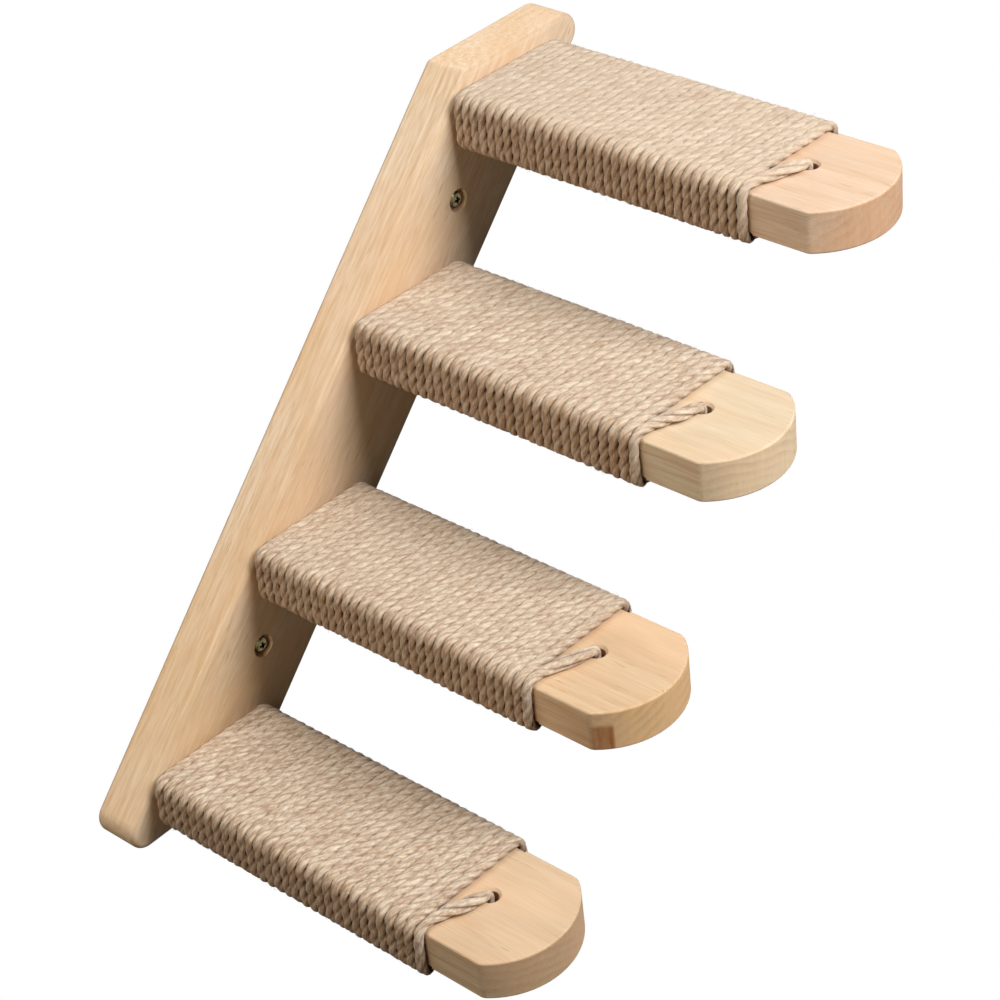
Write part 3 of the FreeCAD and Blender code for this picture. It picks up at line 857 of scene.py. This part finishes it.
def rope_mesh(number):
    """One closed rope with its loose fibres, UV map and attributes."""
    line, run = lines[number]
    spikes, ring, place = fibres[number]
    points = [rings[number].reshape(-1, 3), line[:1], line[-1:], spikes.reshape(-1, 3)]
    mesh = bpy.data.meshes.new(f"rope_{number}")
    mesh.from_pydata(np.concatenate(points).tolist(), [], rope_faces(len(line)))
    layer = mesh.uv_layers.new(name="along_rope")
    layer.data.foreach_set("uv", rope_uv(run, ring, place).ravel())
    for shade, values in shades[number].items():
        stored = mesh.attributes.new(shade, "FLOAT", "POINT")
        own = np.repeat(values[ring, place], FIBRE_POINTS)
        stored.data.foreach_set("value", np.concatenate([values.ravel(), [0.0, 0.0], own]))
    return mesh


for number in TREADS:
    mesh = rope_mesh(number)
    rope = bpy.data.objects.new(f"rope_{number}", mesh)
    bpy.context.scene.collection.objects.link(rope)
    bpy.ops.object.select_all(action="DESELECT")
    rope.select_set(True)
    bpy.context.view_layer.objects.active = rope
    bpy.ops.object.shade_smooth()
    mesh.materials.append(rope_finishes[number])
    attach(rope, "root")
    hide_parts(f"rope_wrap_{number}")
    print(rope.name, "faces", len(mesh.polygons))

# %% [markdown]
# ## Steel
#
# The screws are zinc plated and have dulled to a brownish yellow. Two noises are enough: a coarse
# one for the uneven bloom in colour and gloss, and a fine one for the marks of turning.

# %% Steel finish
BLOOM_SCALE, MARK_SCALE = 900.0, 5200.0

steel, steel_shader, steel_place = new_finish("zinc steel", {"Metallic": 1.0})
bloom = steel_place.noise(BLOOM_SCALE, 3.0, 0.6)
marks = steel_place.noise(MARK_SCALE, 2.0)
feed(
    steel_shader,
    base_color=bloom.mix(colour("#524932"), colour("#877B58")),
    roughness=0.2 + bloom * 0.2,
    normal=steel_place.node("Bump", None, {"Strength": 0.25, "Distance": 0.00004, "Height": marks}),
)
print("steel finish has", len(steel.node_tree.nodes), "nodes")


# %% [markdown]
# ## Screws
#
# Two screws hold the ladder to the wall, sunk in round recesses of the board, and two more go from
# the back into each tread. Each kind is modelled once, upright at the origin. It starts as a turned
# blank: the head is drawn up from a short cylinder in a few extrusions that close to a dome, and
# the shank is drawn down from its underside to a point.

# %% Screw blanks
# For each kind: the head's height, the smooth length of the shank, and the length to the point.
SCREWS = {"wall_screw": (0.0038, 0.0241, 0.0400), "tread_screw": (0.0034, 0.0200, 0.0600)}
HEAD_RADIUS, SHANK_RADIUS, CORE_RADIUS = 0.00475, 0.0019, 0.0016
UP, DOWN = 1, -1
RIM_SHARE = 0.34             # of the head's height is its upright rim
DOME = ((0.26, 0.94), (0.20, 0.84), (0.13, 0.72), (0.07, 0.50))     # rise and scale of each step
SHOULDER, POINT_LENGTH, POINT_SCALE = 0.0006, 0.0060, 0.06
HEAD_SIDES = 40


def start_piece():
    """Leave edit mode and let go of everything, so that the next operator acts on its own piece."""
    if bpy.context.object and bpy.context.object.mode != "OBJECT":
        bpy.ops.object.mode_set(mode="OBJECT")
    bpy.ops.object.select_all(action="DESELECT")


def pick_faces(piece, way):
    """Select the faces of the piece that look up or down, and go back to edit mode."""
    bpy.ops.object.mode_set(mode="OBJECT")
    for group in (piece.data.vertices, piece.data.edges, piece.data.polygons):
        group.foreach_set("select", [False] * len(group))
    for face in piece.data.polygons:
        face.select = face.normal.z * way > 0.9
    bpy.ops.object.mode_set(mode="EDIT")
    bpy.ops.mesh.select_mode(type="FACE")


def draw_out(height, scale):
    """Extrude the selected face along Z and scale its new end about the screw's axis."""
    bpy.ops.mesh.extrude_region_move(TRANSFORM_OT_translate={"value": (0.0, 0.0, height)})
    bpy.ops.transform.resize(value=(scale, scale, 1.0), center_override=(0.0, 0.0, 0.0))


def screw_blank(head_height, smooth_length, length):
    """Head, shank and point; the underside of the head is at the origin and the head upwards."""
    start_piece()
    rim = head_height * RIM_SHARE
    bpy.ops.mesh.primitive_cylinder_add(
        vertices=HEAD_SIDES, radius=HEAD_RADIUS, depth=rim, location=(0.0, 0.0, rim / 2),
        end_fill_type="NGON",
    )
    blank = bpy.context.object
    bpy.ops.object.transform_apply(location=True)
    pick_faces(blank, UP)
    for rise, scale in DOME:
        draw_out(head_height * rise, scale)
    pick_faces(blank, DOWN)
    bpy.ops.mesh.inset(thickness=HEAD_RADIUS - SHANK_RADIUS)
    draw_out(-smooth_length, 1.0)
    draw_out(-SHOULDER, CORE_RADIUS / SHANK_RADIUS)
    draw_out(-(length - smooth_length - SHOULDER - POINT_LENGTH), 1.0)
    draw_out(-POINT_LENGTH, POINT_SCALE)
    bpy.ops.object.mode_set(mode="OBJECT")
    return blank


models = {name: screw_blank(*sizes) for name, sizes in SCREWS.items()}
print("faces of the blanks", [len(model.data.polygons) for model in models.values()])


# %% [markdown]
# A cross in the head takes the driver. It is two bars, narrower at the bottom, that a Boolean takes
# away one after the other. The cut comes before the thread, so that it meets only the plain blank.

# %% Cross recess
CROSS_SPAN, CROSS_WIDTH, CROSS_DEPTH = 0.0060, 0.0017, 0.0024
CROSS_TAPER = (0.45, 0.75, 1.0)


def cut_cross(blank, head_height):
    """Cut two crossing bars, narrower at the bottom, into the head."""
    top, axis = (0.0, 0.0, head_height), (0.0, 0.0, 0.0)
    for turn in (0.0, math.pi / 2):
        start_piece()
        bpy.ops.mesh.primitive_cube_add(size=1.0, location=top)
        bar = bpy.context.object
        bpy.ops.object.transform_apply(location=True)
        bpy.ops.object.mode_set(mode="EDIT")
        bpy.ops.mesh.select_all(action="SELECT")
        size = (CROSS_SPAN, CROSS_WIDTH, CROSS_DEPTH * 2)
        bpy.ops.transform.resize(value=size, center_override=top)
        pick_faces(bar, DOWN)
        bpy.ops.transform.resize(value=CROSS_TAPER, center_override=axis)
        bpy.ops.mesh.select_all(action="SELECT")
        bpy.ops.transform.rotate(value=turn, orient_axis="Z", center_override=axis)
        bpy.ops.object.mode_set(mode="OBJECT")
        bpy.context.view_layer.objects.active = blank
        cut = blank.modifiers.new("cross", "BOOLEAN")
        cut.operation = "DIFFERENCE"
        cut.solver = "EXACT"
        cut.object = bar
        bpy.ops.object.modifier_apply(modifier="cross")
        bpy.data.objects.remove(bar)


for name, (head_height, smooth_length, length) in SCREWS.items():
    cut_cross(models[name], head_height)
    print(name, "with its cross has", len(models[name].data.polygons), "faces")

# %% [markdown]
# The thread is one small triangle that the Screw modifier carries round the shank, which is less
# work than drawing a helix point by point. The ridge thins out towards the screw's point.

# %% Thread
THREAD_RADIUS, THREAD_PITCH = 0.0025, 0.0022
THREAD_ROOT = 0.0003         # how far the ridge starts inside the core
THREAD_STEPS = 20
THREAD_FADE, THREAD_LEAST = 0.006, 0.12


def cut_thread(blank, start, end):
    """Wind a triangular ridge round the shank from start to end and join it on."""
    start_piece()
    deep = THREAD_RADIUS - CORE_RADIUS + THREAD_ROOT
    middle = (THREAD_RADIUS - deep * 2 / 3, 0.0, -end)
    bpy.ops.mesh.primitive_circle_add(
        vertices=3, radius=deep * 2 / 3, rotation=(math.pi / 2, 0.0, 0.0),
        fill_type="NOTHING", location=middle,
    )
    ridge = bpy.context.object
    bpy.ops.object.transform_apply(location=True, rotation=True)
    bpy.ops.object.mode_set(mode="EDIT")
    bpy.ops.mesh.select_all(action="SELECT")
    bpy.ops.transform.rotate(value=math.pi / 2, orient_axis="Y", center_override=middle)
    bpy.ops.object.mode_set(mode="OBJECT")
    reach = max(point.co.x for point in ridge.data.vertices)
    for point in ridge.data.vertices:
        point.co.x += THREAD_RADIUS - reach
    winding = ridge.modifiers.new("winding", "SCREW")
    winding.steps = winding.render_steps = THREAD_STEPS
    winding.screw_offset = THREAD_PITCH
    winding.iterations = round((end - start) / THREAD_PITCH)
    winding.use_merge_vertices = True
    bpy.ops.object.modifier_apply(modifier="winding")
    for point in ridge.data.vertices:
        shrink = min(1.0, max(THREAD_LEAST, (point.co.z + end) / THREAD_FADE))
        point.co.x *= shrink
        point.co.y *= shrink
    bpy.ops.object.mode_set(mode="EDIT")
    bpy.ops.mesh.select_all(action="SELECT")
    bpy.ops.mesh.normals_make_consistent(inside=False)
    bpy.ops.object.mode_set(mode="OBJECT")
    blank.select_set(True)
    bpy.context.view_layer.objects.active = blank
    bpy.ops.object.join()


for name, (head_height, smooth_length, length) in SCREWS.items():
    cut_thread(models[name], smooth_length, length)
    print(name, "with its thread has", len(models[name].data.polygons), "faces")

# %% [markdown]
# Round faces are shaded smooth and sharp edges stay sharp. Every screw of the ladder is then a copy
# with its own mesh, turned and moved to where the CAD screw is. The copy's object stays at the
# origin, so that the finish doesn't slide on it.

# %% Smooth the screws
SMOOTH_ANGLE = math.radians(38.0)

for name, model in models.items():
    start_piece()
    model.name = name
    model.select_set(True)
    bpy.context.view_layer.objects.active = model
    bpy.ops.object.shade_smooth_by_angle(angle=SMOOTH_ANGLE)
    model.data.materials.clear()
    model.data.materials.append(steel)
print("screws finished", list(models))

# %% Set the screws in their holes
TO_ROOM, TO_WALL = -1, 1     # the way that a head faces, in y


def set_screw(model, node, head_out):
    """A copy of the model with its own mesh, standing in for one CAD screw."""
    low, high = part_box(node)
    turn = Matrix.Rotation(-head_out * math.pi / 2, 4, "X")
    copy = bpy.data.objects.new(node + ".steel", model.data.copy())
    copy.data.transform(turn)
    reach = [point.co.y for point in copy.data.vertices]
    shift = high.y - max(reach) if head_out > 0 else low.y - min(reach)
    place = ((low.x + high.x) / 2, shift, (low.z + high.z) / 2)
    copy.data.transform(Matrix.Translation(place))
    bpy.context.scene.collection.objects.link(copy)
    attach(copy, "root")
    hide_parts(node)


for end in ("upper", "lower"):
    set_screw(models["wall_screw"], f"wall_screw_{end}", TO_ROOM)
for number in TREADS:
    for side in ("left", "right"):
        set_screw(models["tread_screw"], f"tread_screw_{number}_{side}", TO_WALL)
for model in models.values():
    bpy.data.objects.remove(model)


# %% [markdown]
# ## Light
#
# In the photograph the tops are bright, the sides that face the camera are half as bright, and the
# board goes dark under each tread. So there are four soft area lamps: a strong one high in front
# that throws those shadows, two weaker ones above and at the left that lift the tops and the near
# sides, and one behind for the far outlines. The world gives next to no light, but it is white to
# the camera, and to rays that metal sends on, so that the background is plain white.

# %% Light
LIT_MIDDLE = Vector((0.0, -0.12, 0.0))
WARM_WHITE = (1.0, 0.99, 0.975)
# For each lamp: direction from the ladder, distance, size, watts and tint.
LAMPS = {
    "front lamp": ((0.19, -0.70, 0.69), 1.5, 0.6, 24.0, (0.98, 0.985, 1.0)),
    "top lamp": ((-0.45, 0.26, 0.86), 1.15, 0.7, 5.4, WARM_WHITE),
    "left lamp": ((-0.88, -0.12, 0.46), 1.5, 0.7, 6.2, (1.0, 0.87, 0.69)),
    "back lamp": ((0.55, 0.80, 0.30), 2.2, 1.4, 14.0, WARM_WHITE),
}
FILL = 0.005
WHITE = (1.0, 1.0, 1.0, 1.0)


def area_lamp(name, direction, distance, size, power, tint):
    """A square lamp that faces the ladder from a direction."""
    lamp_data = bpy.data.lights.new(name, "AREA")
    lamp_data.size = size
    lamp_data.energy = power
    lamp_data.color = tint
    lamp = bpy.data.objects.new(name, lamp_data)
    bpy.context.scene.collection.objects.link(lamp)
    toward = Vector(direction).normalized()
    lamp.location = toward * distance + LIT_MIDDLE
    lamp.rotation_euler = toward.to_track_quat("Z", "Y").to_euler()


def seen_as_background(start):
    """1 for rays from the camera and for those that metal or glass sends on, otherwise 0."""
    kinds = ("Camera", "Glossy", "Transmission")
    camera_ray, glossy_ray, glass_ray = (
        start.node("LightPath", None, None, f"Is {kind} Ray") for kind in kinds
    )
    return camera_ray.math("MAXIMUM", glossy_ray).math("MAXIMUM", glass_ray)


for name, measures in LAMPS.items():
    area_lamp(name, *measures)

world = bpy.data.worlds.new("studio")
world.use_nodes = True
bpy.context.scene.world = world
studio = world.node_tree.nodes["Background"]
studio.inputs["Color"].default_value = WHITE
strength = seen_as_background(Value(studio.outputs["Background"])) * (1.0 - FILL) + FILL
world.node_tree.links.new(strength.socket, studio.inputs["Strength"])
print("lamps", {name: measures[3] for name, measures in LAMPS.items()}, "W")

# %% [markdown]
# ## Ground
#
# The ladder hangs on a wall and stands on nothing, so the pale ground lies far below. There it
# hardly lights the undersides, and no shadow falls into the picture. Like the world, it is white to
# the camera.

# %% Ground
GROUND_SIZE, GROUND_HEIGHT = 14.0, -4.0
GROUND_TONE = (0.80, 0.79, 0.77, 1.0)

bpy.ops.object.select_all(action="DESELECT")
bpy.ops.mesh.primitive_plane_add(size=GROUND_SIZE, location=(0.0, 0.0, GROUND_HEIGHT))
ground = bpy.context.object
ground.name = "ground"
ground_finish = bpy.data.materials.new("ground")
ground_finish.use_nodes = True
tree = ground_finish.node_tree
ground_shader = tree.nodes["Principled BSDF"]
ground_shader.inputs["Base Color"].default_value = GROUND_TONE
ground_shader.inputs["Roughness"].default_value = 1.0
plain = Value(ground_shader.outputs["BSDF"])
seen = seen_as_background(plain)
white = plain.node("Emission", None, {"Color": WHITE, "Strength": 1.0})
mixed = plain.node("MixShader", None, {0: seen, 1: plain, 2: white})
tree.links.new(mixed.socket, tree.nodes["Material Output"].inputs["Surface"])
ground.data.materials.append(ground_finish)
print("ground", GROUND_SIZE, "m wide at", GROUND_HEIGHT)
